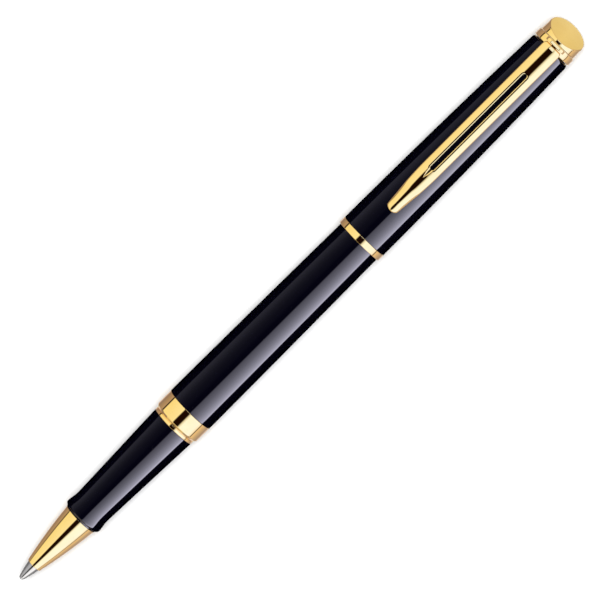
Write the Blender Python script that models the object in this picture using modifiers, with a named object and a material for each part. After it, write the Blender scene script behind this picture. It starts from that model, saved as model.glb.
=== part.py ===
"""A slim metal rollerball pen, lying down with its cap posted on the tail of the barrel.

Stations are distances along the pen from the writing ball, and every turned piece is a profile
of (station, radius) points. The pen lies along X with its ball at -X, its clip faces +Z, and Z = 0
is the surface it lies on. Sizes run outwards from the refill: each bore is the size of what it
holds plus a clearance, and each outside is its bore plus a wall.
"""

from math import cos, pi, radians, sin

import bmesh
import bpy
from mathutils import Vector

MM = 0.001

# Sides of the turned pieces
SHELL_SIDES = 32
CORE_SIDES = 24
TIP_SIDES = 16
COIL_STEPS = 24

# Clearances
SEAT = 0.05 * MM           # pieces fixed to each other
RUN = 0.08 * MM            # pieces that turn or slide on each other
BUTT = 0.05 * MM           # faces that meet end to end

# Refill
BALL_R = 0.35 * MM
SOCKET_CLEARANCE = 0.03 * MM
LIP_STATION = 0.13 * MM
TIP_LIP_R = 0.42 * MM
TIP_LIP_EDGE = 0.03 * MM
TIP_CONE_START = 0.90 * MM
TIP_CONE_R = 0.70 * MM
TIP_CONE_BULGE = 0.02 * MM
TIP_R = 1.34 * MM
TIP_SHANK = 3.1 * MM
TIP_STEM_R = 0.95 * MM
TIP_STEM = 4.4 * MM
INK_HOLE_R = 0.15 * MM
INK_HOLE_END = 2.0 * MM
FEED_START = 2.3 * MM
FEED_R = 0.45 * MM
FEED_LENGTH = 20.0 * MM
HOLDER_COLLAR = 4.4 * MM
REFILL_R = 3.05 * MM
REFILL_LENGTH = 111.0 * MM
REFILL_WALL = 0.30 * MM
REFILL_PLUG = 2.0 * MM
REFILL_SHOULDER = 0.30 * MM
RESERVOIR_ROOM = 1.0 * MM

# Nose cone
TIP_EXPOSED = 3.7 * MM
NOSE_LENGTH = 12.7 * MM
NOSE_BULGE = 0.185 * MM
NOSE_RIM = 0.16 * MM
NOSE_STEP = 0.19 * MM
NOSE_LAND = 2.6 * MM
NOSE_SPIGOT = 2.9 * MM
NOSE_SPIGOT_STEP = 0.20 * MM
NOSE_SPIGOT_WALL = 0.50 * MM

# Grip section
REFILL_CLEARANCE = 0.15 * MM
GRIP_LENGTH = 25.05 * MM
GRIP_WALL = 0.72 * MM
GRIP_FLARE = 0.26 * MM
GRIP_FLARE_LENGTH = 2.9 * MM
GRIP_LIP_ROUND = 0.6 * MM
GRIP_LIP_CENTRE = 0.85 * MM
GRIP_END_STEP = 0.02 * MM
SLEEVE_DEPTH = 11.5 * MM

# Threaded joint
SLEEVE_WALL = 0.50 * MM
SLEEVE_STEP = 0.15 * MM
THREAD_PITCH = 1.2 * MM
THREAD_WIRE_R = 0.24 * MM
THREAD_TURNS = 3
THREAD_START = 1.6 * MM
THREAD_RUN_OUT = 1.6 * MM
INSERT_LEAD = 0.6 * MM
INSERT_WALL = 0.43 * MM

# Section band
BAND_LIP = 0.71 * MM
BAND_GROOVE = 0.12 * MM
BAND_GROOVE_DEPTH = 0.10 * MM
BAND_SHOULDER = 0.46 * MM
BAND_LAND = 3.41 * MM

# Barrel
BARREL_WALL = 0.67 * MM
BARREL_TAPER = 0.37 * MM
BARREL_BULGE = 0.035 * MM
TAIL_CLEARANCE = 0.163 * MM
TAIL_PLUG = 1.55 * MM
TAIL_SPIGOT = 2.4 * MM
TAIL_ROUND = 1.2 * MM
SPRING_SEAT = 0.7 * MM
SPRING_LENGTH = 6.22 * MM
SPRING_R = 2.3 * MM
SPRING_WIRE_R = 0.18 * MM
SPRING_TURNS = 5

# Cap
POSTED_DEPTH = 30.5 * MM
CAP_WALL = 0.27 * MM
CAP_BAND_LENGTH = 1.37 * MM
CAP_BAND_PROUD = 0.07 * MM
CAP_TUBE_LENGTH = 49.8 * MM
CAP_TAPER = 0.79 * MM
CAP_BULGE = 0.148 * MM
CAP_END_ROUND = 0.75 * MM
CAP_END_STEP = 0.20 * MM
CAP_END_LIP = 0.5 * MM
CAP_END_LIP_REACH = 0.66 * MM
CAP_LIP_CLEARANCE = 0.14 * MM
CLUTCH_START = 9.5 * MM
CLUTCH_LENGTH = 6.0 * MM
CLUTCH_SLOT = 0.8 * MM
CLUTCH_SLOT_PAIRS = 3
LINER_START = 16.0 * MM
LINER_ROOM = 0.42 * MM      # between the liner's end and the stud's head
LINER_WALL = 0.25 * MM
LINER_END = 0.8 * MM
STUD_R = 1.3 * MM
STUD_HEAD_R = 2.6 * MM
STUD_HEAD = 1.2 * MM
STUD_GRIP = 1.6 * MM
INSERT_LENGTH = 3.7 * MM

# Clip collar and finial
COLLAR_LENGTH = 1.55 * MM
COLLAR_SWELL = 0.25 * MM
BLOCK_WIDTH = 4.0 * MM
BLOCK_LENGTH = 0.85 * MM
FINIAL_LENGTH = 4.66 * MM
FINIAL_TAPER = 0.18 * MM
FINIAL_SLANT = radians(26.6)
BLANK_SPARE = 1.0 * MM     # what the slanted cut takes off the finial's blank

# Clip
CLIP_SETBACK = 8.57 * MM    # from the cap's mouth to the clip's tip
CLIP_WIDTH = 4.1 * MM
CLIP_TIP_WIDTH = 2.35 * MM
CLIP_TIP_ROUND = 0.75 * MM
CLIP_NARROWING = 11.0 * MM
CLIP_SPREAD = 0.2 * MM      # how much it widens from there to its root
CLIP_THICKNESS = 0.95 * MM
CLIP_CROWN = 0.55 * MM
CLIP_GAP = 0.90 * MM
CLIP_LEAN = 0.45            # how much of the cap's taper the clip follows
CLIP_ARCH = 0.75 * MM
CLIP_PAD_START = 3.4 * MM
CLIP_PAD_RISE = 1.1 * MM
CLIP_PAD_CLEARANCE = 0.12 * MM
CLIP_ROOT_CLEARANCE = 0.10 * MM
SLOT_WIDTH = 1.0 * MM
SLOT_START = 10.9 * MM
SLOT_END_LAND = 7.2 * MM     # from the slot's end to the clip's root

# Stations and radii that follow from the sizes above
BORE_R = REFILL_R + REFILL_CLEARANCE
NOSE_START = TIP_EXPOSED
GRIP_START = NOSE_START + NOSE_LENGTH + BUTT
BAND_START = GRIP_START + GRIP_LENGTH + BUTT
BAND_LENGTH = BAND_LIP + BAND_SHOULDER + BAND_LAND
BARREL_START = BAND_START + BAND_LENGTH + BUTT
TUBE_END = REFILL_LENGTH + SPRING_LENGTH + SPRING_SEAT + TAIL_SPIGOT + 3 * BUTT
BARREL_END = TUBE_END + TAIL_PLUG
CAP_START = BARREL_END - POSTED_DEPTH
CAP_TUBE_START = CAP_START + CAP_BAND_LENGTH + BUTT
CAP_TUBE_END = CAP_TUBE_START + CAP_TUBE_LENGTH
STUD_FRONT = CAP_TUBE_END - CAP_END_LIP - INSERT_LENGTH - STUD_HEAD - 2 * BUTT
COLLAR_START = CAP_TUBE_END + BUTT
FINIAL_START = COLLAR_START + COLLAR_LENGTH + BUTT
PEN_LENGTH = FINIAL_START + FINIAL_LENGTH

NOSE_SPIGOT_R = BORE_R + NOSE_SPIGOT_STEP
NOSE_BACK_R = NOSE_SPIGOT_R + NOSE_STEP
NOSE_BORE_R = TIP_R + RUN
HOLDER_R = NOSE_SPIGOT_R - NOSE_SPIGOT_WALL - RUN
SPIGOT_END = GRIP_START + NOSE_SPIGOT
REFILL_TUBE_START = SPIGOT_END + REFILL_SHOULDER
REFILL_BORE_R = REFILL_R - REFILL_WALL

GRIP_NECK_R = BORE_R + GRIP_WALL
THREAD_ROOT_R = BORE_R + SLEEVE_WALL
SLEEVE_R = THREAD_ROOT_R + SLEEVE_STEP
INSERT_BORE_R = THREAD_ROOT_R + THREAD_WIRE_R + RUN
INSERT_R = INSERT_BORE_R + INSERT_WALL
BARREL_R = INSERT_R + SEAT + BARREL_WALL
BARREL_MOUTH_R = BARREL_R - BARREL_TAPER

CAP_R = BARREL_MOUTH_R + RUN + CAP_WALL
CAP_BAND_R = CAP_R + CAP_BAND_PROUD
CAP_END_R = CAP_R - CAP_TAPER
LIP_R = CAP_R - CAP_WALL - CAP_LIP_CLEARANCE
FINIAL_R = CAP_END_R - CAP_END_STEP
STUD_BORE_R = STUD_R + SEAT
COLLAR_R = FINIAL_R + COLLAR_SWELL

AXIS_HEIGHT = max(CAP_BAND_R, BARREL_R)
CLIP_ROOT = COLLAR_START + COLLAR_LENGTH - BLOCK_LENGTH - CLIP_ROOT_CLEARANCE
CLIP_TIP = CAP_START + CLIP_SETBACK
CLIP_LENGTH = CLIP_ROOT - CLIP_TIP


# Profiles

def bowed(start, end, bulge, steps):
    """Points from start to end, both (station, radius), bowed outwards by bulge at the middle."""
    points = []
    for step in range(steps + 1):
        share = step / steps
        station = start[0] + share * (end[0] - start[0])
        radius = start[1] + share * (end[1] - start[1]) + 4 * bulge * share * (1 - share)
        points.append((station, radius))
    return points


def arc(centre, radius, first, last, steps):
    """Points on an arc in the profile's plane. Angles are from +station towards +radius."""
    points = []
    for step in range(steps + 1):
        angle = radians(first + (last - first) * step / steps)
        points.append((centre[0] + radius * cos(angle), centre[1] + radius * sin(angle)))
    return points


def barrel_radius(station):
    """Outside of the barrel: slightly bowed up to the posted cap, then a straighter tail."""
    if station <= CAP_START:
        share = (station - BARREL_START) / (CAP_START - BARREL_START)
        return BARREL_R - share * BARREL_TAPER + 4 * BARREL_BULGE * share * (1 - share)
    share = (station - CAP_START) / (TUBE_END - CAP_START)
    return BARREL_MOUTH_R + share * (TAIL_R - BARREL_MOUTH_R)


def cap_radius(station):
    """Outside of the cap tube, bowed between its mouth and its end."""
    share = (station - CAP_TUBE_START) / (CAP_TUBE_LENGTH - CAP_END_ROUND)
    return CAP_R - share * CAP_TAPER + 4 * CAP_BULGE * share * (1 - share)


def cap_bore(station):
    """Inside of the cap tube."""
    return cap_radius(station) - CAP_WALL


def liner_bore(station):
    """Inside of the cap's liner."""
    return cap_bore(station) - SEAT - LINER_WALL


# The tail of the barrel clears the liner that it is posted into
TAIL_R = liner_bore(TUBE_END) - TAIL_CLEARANCE


def stations(start, end, steps):
    """Evenly spaced stations, both ends included."""
    return [start + (end - start) * step / steps for step in range(steps + 1)]


# Blender helpers

def collection(name):
    made = bpy.data.collections.new(name)
    bpy.context.scene.collection.children.link(made)
    return made


def material(name, colour, roughness, metallic):
    made = bpy.data.materials.new(name)
    made.use_nodes = True
    shader = made.node_tree.nodes["Principled BSDF"]
    shader.inputs["Base Color"].default_value = (*colour, 1.0)
    shader.inputs["Roughness"].default_value = roughness
    shader.inputs["Metallic"].default_value = metallic
    return made


def axis_empty(name, parent=None, station=0.0):
    """An empty on the pen's axis, whose Z runs from the ball towards the finial."""
    empty = bpy.data.objects.new(name, None)
    empty.empty_display_size = 5 * MM
    PEN.objects.link(empty)
    empty.parent = parent
    if parent:
        empty.location = (0, 0, station)
    else:
        empty.location = (-PEN_LENGTH / 2, 0, AXIS_HEIGHT)
        empty.rotation_euler = (0, radians(90), 0)
    return empty


def add_object(name, mesh, parent, finish, group=None):
    made = bpy.data.objects.new(name, mesh)
    (group or PEN).objects.link(made)
    made.parent = parent
    if finish:
        mesh.materials.append(finish)
    return made


def turned(name, parent, finish, outer, inner=(), sides=SHELL_SIDES):
    """A body turned about its parent's Z axis. Both profiles run from front to back; a body with
    no inner profile is solid."""
    datum = parent["station"]
    outline = [*reversed(outer), *inner]
    points = [(radius, 0, station - datum) for station, radius in outline]
    edges = [(index, index + 1) for index in range(len(points) - 1)]
    if inner:
        edges.append((len(points) - 1, 0))
    mesh = bpy.data.meshes.new(name)
    mesh.from_pydata(points, edges, [])
    made = add_object(name, mesh, parent, finish)
    screw = made.modifiers.new("Turn", "SCREW")
    screw.steps = screw.render_steps = sides
    screw.use_merge_vertices = True
    screw.merge_threshold = 1e-6
    screw.use_smooth_shade = True
    return made


def coil(name, parent, finish, radius, pitch, turns, start, wire_r, handed=1):
    """A helical wire about its parent's Z axis, made a mesh with its two ends closed."""
    count = int(turns * COIL_STEPS)
    curve = bpy.data.curves.new(name, "CURVE")
    curve.dimensions = "3D"
    curve.bevel_depth = wire_r
    curve.bevel_resolution = 1
    curve.use_fill_caps = True
    spline = curve.splines.new("POLY")
    spline.points.add(count)
    for index, point in enumerate(spline.points):
        angle = handed * 2 * pi * index / COIL_STEPS
        height = start - parent["station"] + pitch * index / COIL_STEPS
        point.co = (radius * cos(angle), radius * sin(angle), height, 1)
    wire = add_object(name + "_curve", curve, parent, None)
    mesh = meshed(wire, name)
    made = add_object(name, mesh, parent, finish)
    return made


def meshed(curve_object, name):
    """The closed mesh of a curve object, which is then removed."""
    bpy.context.view_layer.update()
    graph = bpy.context.evaluated_depsgraph_get()
    mesh = bpy.data.meshes.new_from_object(curve_object.evaluated_get(graph))
    mesh.name = name
    bm = bmesh.new()
    bm.from_mesh(mesh)
    bmesh.ops.remove_doubles(bm, verts=bm.verts, dist=1e-6)
    bm.to_mesh(mesh)
    bm.free()
    bpy.data.objects.remove(curve_object)
    return mesh


def as_cutter(tool):
    """Moves an object to the cutters' collection and keeps it out of the model."""
    for group in list(tool.users_collection):
        group.objects.unlink(tool)
    CUTTERS.objects.link(tool)
    tool.display_type = "WIRE"
    tool.hide_render = True
    return tool


def combine(target, tool, operation):
    """Cuts target with tool, or joins tool to it."""
    as_cutter(tool)
    boolean = target.modifiers.new(tool.name, "BOOLEAN")
    boolean.operation = operation
    boolean.object = tool
    boolean.solver = "EXACT"


def block(name, parent, low, high):
    """A box between two corners in its parent's frame."""
    mesh = bpy.data.meshes.new(name)
    bm = bmesh.new()
    bmesh.ops.create_cube(bm, size=1)
    centre = (Vector(low) + Vector(high)) / 2
    size = Vector(high) - Vector(low)
    bmesh.ops.scale(bm, vec=size, verts=bm.verts)
    bmesh.ops.translate(bm, vec=centre, verts=bm.verts)
    bm.to_mesh(mesh)
    bm.free()
    return add_object(name, mesh, parent, None)


# Refill

def make_ball(parent):
    mesh = bpy.data.meshes.new("ball")
    bm = bmesh.new()
    bmesh.ops.create_uvsphere(bm, u_segments=TIP_SIDES, v_segments=8, radius=BALL_R)
    bm.to_mesh(mesh)
    bm.free()
    mesh.shade_smooth()
    add_object("ball", mesh, parent, CARBIDE)


def make_refill_tip(parent):
    """A bare metal cone with the ball's socket in its nose and a stem at its back."""
    shank_end = TIP_EXPOSED + TIP_SHANK
    stem_end = shank_end + TIP_STEM
    socket_r = BALL_R + SOCKET_CLEARANCE
    outer = [
        (LIP_STATION, TIP_LIP_R - TIP_LIP_EDGE),
        (TIP_CONE_START / 2, (TIP_LIP_R + TIP_CONE_R) / 2),
        *bowed((TIP_CONE_START, TIP_CONE_R), (TIP_EXPOSED, TIP_R), TIP_CONE_BULGE, 3),
        (shank_end, TIP_R),
        (shank_end, TIP_STEM_R),
        (stem_end, TIP_STEM_R),
    ]
    inner = [
        (LIP_STATION, BALL_R - SOCKET_CLEARANCE),
        (BALL_R, socket_r),
        (1.7 * BALL_R, BALL_R),
        (2.3 * BALL_R, INK_HOLE_R),
        (INK_HOLE_END, INK_HOLE_R),
        (INK_HOLE_END, FEED_R + SEAT),
        (stem_end, FEED_R + SEAT),
    ]
    turned("refill_tip", parent, NICKEL_SILVER, outer, inner, TIP_SIDES)


def make_tip_holder(parent):
    """The plastic cone that carries the metal tip and plugs into the refill tube."""
    start = TIP_EXPOSED + TIP_SHANK + BUTT
    stem_end = TIP_EXPOSED + TIP_SHANK + TIP_STEM + BUTT
    cone_end = GRIP_START
    slope = (HOLDER_R - NOSE_BORE_R) / (cone_end - NOSE_START - NOSE_LAND)
    front_r = NOSE_BORE_R + slope * (start - NOSE_START - NOSE_LAND)
    collar_r = REFILL_BORE_R - SEAT
    end = REFILL_TUBE_START + HOLDER_COLLAR
    outer = [
        (start, front_r),
        (cone_end, HOLDER_R),
        (REFILL_TUBE_START - BUTT, HOLDER_R),
        (REFILL_TUBE_START - BUTT, collar_r),
        (end, collar_r),
    ]
    inner = [
        (start, TIP_STEM_R + SEAT),
        (stem_end, TIP_STEM_R + SEAT),
        (stem_end, FEED_R + SEAT),
        (end, FEED_R + SEAT),
    ]
    turned("tip_holder", parent, NATURAL_PLASTIC, outer, inner, CORE_SIDES)


def make_ink_feed_rod(parent):
    end = FEED_START + FEED_LENGTH
    outer = [(FEED_START, 0), (FEED_START, FEED_R), (end, FEED_R), (end, 0)]
    turned("ink_feed_rod", parent, INK_FIBRE, outer, sides=TIP_SIDES)


def make_refill_tube(parent):
    outer = [(REFILL_TUBE_START, REFILL_R), (REFILL_LENGTH - REFILL_PLUG, REFILL_R)]
    inner = [(REFILL_TUBE_START, REFILL_BORE_R), (REFILL_LENGTH - REFILL_PLUG, REFILL_BORE_R)]
    turned("refill_tube", parent, NATURAL_PLASTIC, outer, inner, CORE_SIDES)


def make_ink_reservoir(parent):
    start = REFILL_TUBE_START + HOLDER_COLLAR + RESERVOIR_ROOM
    end = REFILL_LENGTH - 2 * REFILL_PLUG - RESERVOIR_ROOM
    radius = REFILL_BORE_R - SEAT
    outer = [(start, 0), (start, radius), (end, radius), (end, 0)]
    turned("ink_reservoir", parent, INK_FIBRE, outer, sides=TIP_SIDES)


def make_refill_end_plug(parent):
    head = REFILL_LENGTH - REFILL_PLUG + BUTT
    front = head - REFILL_PLUG
    spigot_r = REFILL_BORE_R - SEAT
    outer = [
        (front, 0),
        (front, spigot_r),
        (head, spigot_r),
        (head, REFILL_R),
        (REFILL_LENGTH, REFILL_R),
        (REFILL_LENGTH, 0),
    ]
    turned("refill_end_plug", parent, BLUE_PLASTIC, outer, sides=CORE_SIDES)


# Section

def make_nose_cone(parent):
    back = NOSE_START + NOSE_LENGTH
    land_end = NOSE_START + NOSE_LAND
    spigot_bore = NOSE_SPIGOT_R - NOSE_SPIGOT_WALL
    outer = [
        (NOSE_START, NOSE_BORE_R + 0.09 * MM),
        *bowed((NOSE_START + 0.07 * MM, NOSE_BORE_R + NOSE_RIM), (back, NOSE_BACK_R), NOSE_BULGE, 8),
        (back, NOSE_SPIGOT_R),
        (SPIGOT_END, NOSE_SPIGOT_R),
    ]
    inner = [
        (NOSE_START, NOSE_BORE_R),
        (land_end, NOSE_BORE_R),
        (GRIP_START, spigot_bore),
        (SPIGOT_END, spigot_bore),
    ]
    turned("nose_cone", parent, GOLD_PLATE, outer, inner)


def make_grip_section(parent):
    """The lacquered grip: a flared front lip, a neck, and a straight taper up to the band."""
    end = GRIP_START + GRIP_LENGTH
    flare_r = GRIP_NECK_R + GRIP_FLARE
    lip = arc((GRIP_START + GRIP_LIP_CENTRE, flare_r - GRIP_LIP_ROUND), GRIP_LIP_ROUND, 150, 60, 3)
    sleeve_front = end - SLEEVE_DEPTH - BUTT
    outer = [
        (GRIP_START, NOSE_BACK_R + 0.04 * MM),
        *lip,
        (GRIP_START + 0.62 * GRIP_FLARE_LENGTH, GRIP_NECK_R + 0.10 * MM),
        (GRIP_START + GRIP_FLARE_LENGTH, GRIP_NECK_R),
        (GRIP_START + 1.5 * GRIP_FLARE_LENGTH, GRIP_NECK_R + 0.03 * MM),
        (end, LIP_R - GRIP_END_STEP),
    ]
    inner = [
        (GRIP_START, NOSE_SPIGOT_R + SEAT),
        (SPIGOT_END + BUTT, NOSE_SPIGOT_R + SEAT),
        (SPIGOT_END + BUTT, BORE_R),
        (sleeve_front, BORE_R),
        (sleeve_front, SLEEVE_R + SEAT),
        (end, SLEEVE_R + SEAT),
    ]
    turned("grip_section", parent, BLACK_LACQUER, outer, inner)


def make_section_band(parent):
    """A narrow lip that enters the cap, a groove, and the wide land that the cap stops against."""
    groove = BAND_START + BAND_LIP - BAND_GROOVE
    shoulder = BAND_START + BAND_LIP
    land = shoulder + BAND_SHOULDER
    end = BAND_START + BAND_LENGTH
    bore = SLEEVE_R + SEAT
    outer = [
        (BAND_START, LIP_R),
        (groove, LIP_R),
        (groove + BAND_GROOVE / 2, LIP_R - BAND_GROOVE_DEPTH),
        (shoulder, LIP_R),
        (land, BARREL_R),
        (end, BARREL_R),
    ]
    turned("section_band", parent, GOLD_PLATE, outer, [(BAND_START, bore), (end, bore)])


def make_thread_sleeve(parent):
    """Fixed in the grip and the band; its threaded end enters the barrel."""
    start = GRIP_START + GRIP_LENGTH - SLEEVE_DEPTH
    step = BAND_START + BAND_LENGTH - BUTT
    end = BARREL_START + THREAD_START + THREAD_TURNS * THREAD_PITCH + THREAD_RUN_OUT
    outer = [(start, SLEEVE_R), (step, SLEEVE_R), (step, THREAD_ROOT_R), (end, THREAD_ROOT_R)]
    sleeve = turned("thread_sleeve", parent, BRASS, outer, [(start, BORE_R), (end, BORE_R)], CORE_SIDES)
    ridge = coil("sleeve_thread", parent, None, THREAD_ROOT_R, THREAD_PITCH, THREAD_TURNS,
                 BARREL_START + THREAD_START, THREAD_WIRE_R)
    combine(sleeve, ridge, "UNION")


# Barrel

def make_barrel(parent):
    insert_end = BARREL_START + INSERT_LEAD + insert_length() + BUTT
    visible = stations(BARREL_START, CAP_START, 6)
    outer = [(station, barrel_radius(station)) for station in (*visible, TUBE_END)]
    inner = [
        (BARREL_START, INSERT_R + SEAT),
        (insert_end, INSERT_R + SEAT),
        (insert_end, barrel_radius(insert_end) - BARREL_WALL - 0.1 * MM),
        (CAP_START, BARREL_MOUTH_R - BARREL_WALL),
        (TUBE_END, TAIL_R - BARREL_WALL),
    ]
    turned("barrel", parent, BLACK_LACQUER, outer, inner)


def insert_length():
    return THREAD_START + THREAD_TURNS * THREAD_PITCH + THREAD_RUN_OUT


def make_barrel_thread_insert(parent):
    start = BARREL_START + INSERT_LEAD
    end = start + insert_length()
    outer = [(start, INSERT_R), (end, INSERT_R)]
    insert = turned("barrel_thread_insert", parent, BRASS, outer,
                    [(start, INSERT_BORE_R), (end, INSERT_BORE_R)], CORE_SIDES)
    first_turn = BARREL_START + THREAD_START + THREAD_PITCH / 2
    ridge = coil("insert_thread", parent, None, INSERT_BORE_R, THREAD_PITCH, THREAD_TURNS,
                 first_turn, THREAD_WIRE_R)
    combine(insert, ridge, "UNION")


def make_barrel_end_plug(parent):
    """The rounded tail, with a spigot that is fixed in the barrel tube."""
    spigot_r = TAIL_R - BARREL_WALL - SEAT
    front = TUBE_END - TAIL_SPIGOT
    head = TUBE_END + BUTT
    rounding = arc((BARREL_END - TAIL_ROUND, TAIL_R - TAIL_ROUND), TAIL_ROUND, 90, 0, 4)
    outer = [(front, 0), (front, spigot_r), (head, spigot_r), (head, TAIL_R), *rounding, (BARREL_END, 0)]
    turned("barrel_end_plug", parent, BLACK_LACQUER, outer, sides=SHELL_SIDES)


def make_spring_seat(parent):
    back = TUBE_END - TAIL_SPIGOT - BUTT
    front = back - SPRING_SEAT
    radius = TAIL_R - BARREL_WALL - 3 * RUN
    outer = [(front, 0), (front, radius), (back, radius), (back, 0)]
    turned("spring_seat", parent, NATURAL_PLASTIC, outer, sides=CORE_SIDES)


def make_refill_spring(parent):
    start = REFILL_LENGTH + BUTT + SPRING_WIRE_R
    end = REFILL_LENGTH + BUTT + SPRING_LENGTH - SPRING_WIRE_R
    pitch = (end - start) / SPRING_TURNS
    coil("refill_spring", parent, SPRING_STEEL, SPRING_R, pitch, SPRING_TURNS, start, SPRING_WIRE_R)


# Cap

def make_cap_band(parent):
    end = CAP_START + CAP_BAND_LENGTH
    bore = CAP_R - CAP_WALL
    bevel = 0.08 * MM
    outer = [
        (CAP_START, CAP_BAND_R - bevel),
        (CAP_START + bevel, CAP_BAND_R),
        (end - bevel, CAP_BAND_R),
        (end, CAP_BAND_R - bevel),
    ]
    turned("cap_band", parent, GOLD_PLATE, outer, [(CAP_START, bore), (end, bore)])


def make_cap_tube(parent):
    round_start = CAP_TUBE_END - CAP_END_ROUND
    lip_start = CAP_TUBE_END - CAP_END_LIP
    body = stations(CAP_TUBE_START, round_start, 7)
    shoulder = arc((round_start, CAP_END_R - CAP_END_ROUND), CAP_END_ROUND, 90, 30, 3)[1:]
    outer = [(station, cap_radius(station)) for station in body] + shoulder
    outer.append((CAP_TUBE_END, shoulder[-1][1] - 0.1 * MM))
    inner = [(station, cap_bore(station)) for station in stations(CAP_TUBE_START, lip_start, 5)]
    inner[-1] = (lip_start, CAP_END_R - CAP_WALL)
    lip_r = CAP_END_R - CAP_END_LIP_REACH
    inner += [(lip_start, lip_r), (CAP_TUBE_END, lip_r)]
    turned("cap_tube", parent, BLACK_LACQUER, outer, inner)


def make_cap_clutch(parent):
    """A thin spring ring whose slotted front grips the barrel."""
    start = CAP_START + CLUTCH_START
    end = start + CLUTCH_LENGTH
    places = stations(start, end, 2)
    outer = [(station, cap_bore(station) - SEAT) for station in places]
    inner = [(station, barrel_radius(station) + RUN) for station in places]
    clutch = turned("cap_clutch", parent, SPRING_STEEL, outer, inner)
    reach = CAP_R
    front = start - CAP_START - 1 * MM
    back = start - CAP_START + 0.7 * CLUTCH_LENGTH
    for pair in range(CLUTCH_SLOT_PAIRS):
        slot = block(f"clutch_slot_{pair + 1}", parent, (-reach, -CLUTCH_SLOT / 2, front),
                     (reach, CLUTCH_SLOT / 2, back))
        slot.rotation_euler = (0, 0, pi * (pair + 0.5) / CLUTCH_SLOT_PAIRS)
        combine(clutch, slot, "DIFFERENCE")


def make_inner_cap(parent):
    """The liner: a thin cup, open towards the mouth, that seals round the point."""
    start = CAP_START + LINER_START
    end = STUD_FRONT - LINER_ROOM
    floor = end - LINER_END
    outer = [(station, cap_bore(station) - SEAT) for station in stations(start, end, 4)]
    outer += [(end, 0)]
    inside = [(station, liner_bore(station)) for station in stations(start, floor, 4)]
    turned("inner_cap", parent, GREY_PLASTIC, [(floor, 0), *reversed(inside), *outer])


def make_cap_end_insert(parent):
    """A bush behind the liner that the stud pulls against the cap tube's end lip."""
    end = CAP_TUBE_END - CAP_END_LIP - BUTT
    start = end - INSERT_LENGTH
    outer = [(start, cap_bore(start) - 2 * SEAT), (end, CAP_END_R - CAP_WALL - 2 * SEAT)]
    turned("cap_end_insert", parent, BRASS, outer, [(start, STUD_BORE_R), (end, STUD_BORE_R)], CORE_SIDES)


def make_finial_stud(parent):
    back = STUD_FRONT + STUD_HEAD
    end = FINIAL_START + STUD_GRIP
    outer = [
        (STUD_FRONT, 0),
        (STUD_FRONT, STUD_HEAD_R),
        (back, STUD_HEAD_R),
        (back, STUD_R),
        (end, STUD_R),
        (end, 0),
    ]
    turned("finial_stud", parent, BRASS, outer, sides=CORE_SIDES)


def clip_top(station):
    """Height of the clip's crown above the pen's axis."""
    from_root = (CLIP_ROOT - station) / CLIP_LENGTH
    base = CAP_END_R + CLIP_GAP + CLIP_THICKNESS
    rise = cap_radius(CLIP_TIP) - CAP_END_R
    arch = 4 * CLIP_ARCH * from_root * (1 - from_root)
    return base + CLIP_LEAN * rise * from_root + arch


def clip_half_width(station):
    """Half the clip's width: nearly parallel, drawn in to a rounded tip."""
    from_tip = max(station - CLIP_TIP, 0)
    share = min(from_tip / CLIP_NARROWING, 1)
    from_root = (CLIP_ROOT - station) / (CLIP_LENGTH - CLIP_NARROWING)
    widest = CLIP_WIDTH - CLIP_SPREAD * min(from_root, 1)
    width = CLIP_TIP_WIDTH + (widest - CLIP_TIP_WIDTH) * (1 - (1 - share) ** 1.8)
    end_round = min(from_tip / CLIP_TIP_ROUND, 1)
    return width / 2 * max(1 - (1 - end_round) ** 2, 0.12) ** 0.5


def clip_bottom(station):
    """Height of the clip's underside; near the tip it drops to a pad close to the cap."""
    plain = clip_top(station) - CLIP_THICKNESS
    pad_low = cap_radius(CLIP_TIP + CLIP_PAD_START) + CLIP_PAD_CLEARANCE
    offset = (station - CLIP_TIP - CLIP_PAD_START) / CLIP_PAD_START
    return min(plain, pad_low + CLIP_PAD_RISE * offset ** 2)


def clip_section(station):
    """One cross-section: a crowned top over a flat underside."""
    half = clip_half_width(station)
    top, bottom = clip_top(station), clip_bottom(station)
    crown = min(CLIP_CROWN, 0.45 * (top - bottom))
    ring = []
    for share in (-1, -0.7, -0.35, 0, 0.35, 0.7, 1):
        ring.append((share * half, top - crown * share ** 2))
    ring += [(0.94 * half, bottom), (-0.94 * half, bottom)]
    return ring


def make_clip(parent):
    """A sprung arm lofted through its sections, with a long slot along its middle."""
    near_tip = [CLIP_TIP + share * CLIP_TIP_ROUND for share in (0, 0.25, 0.6, 1.2)]
    places = near_tip + stations(CLIP_TIP + 2 * MM, CLIP_TIP + CLIP_NARROWING, 5)
    places += stations(CLIP_TIP + CLIP_NARROWING, CLIP_ROOT, 8)[1:]
    bm = bmesh.new()
    rings = []
    for station in places:
        ring = clip_section(station)
        depth = station - parent["station"]
        rings.append([bm.verts.new((-height, across, depth)) for across, height in ring])
    for ring, following in zip(rings, rings[1:]):
        for index in range(len(ring)):
            after = (index + 1) % len(ring)
            bm.faces.new((ring[index], ring[after], following[after], following[index]))
    bm.faces.new(rings[0])
    bm.faces.new(rings[-1])
    bmesh.ops.recalc_face_normals(bm, faces=bm.faces)
    mesh = bpy.data.meshes.new("clip")
    bm.to_mesh(mesh)
    bm.free()
    clip = add_object("clip", mesh, parent, GOLD_PLATE)
    combine(clip, clip_slot(parent), "DIFFERENCE")


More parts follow.
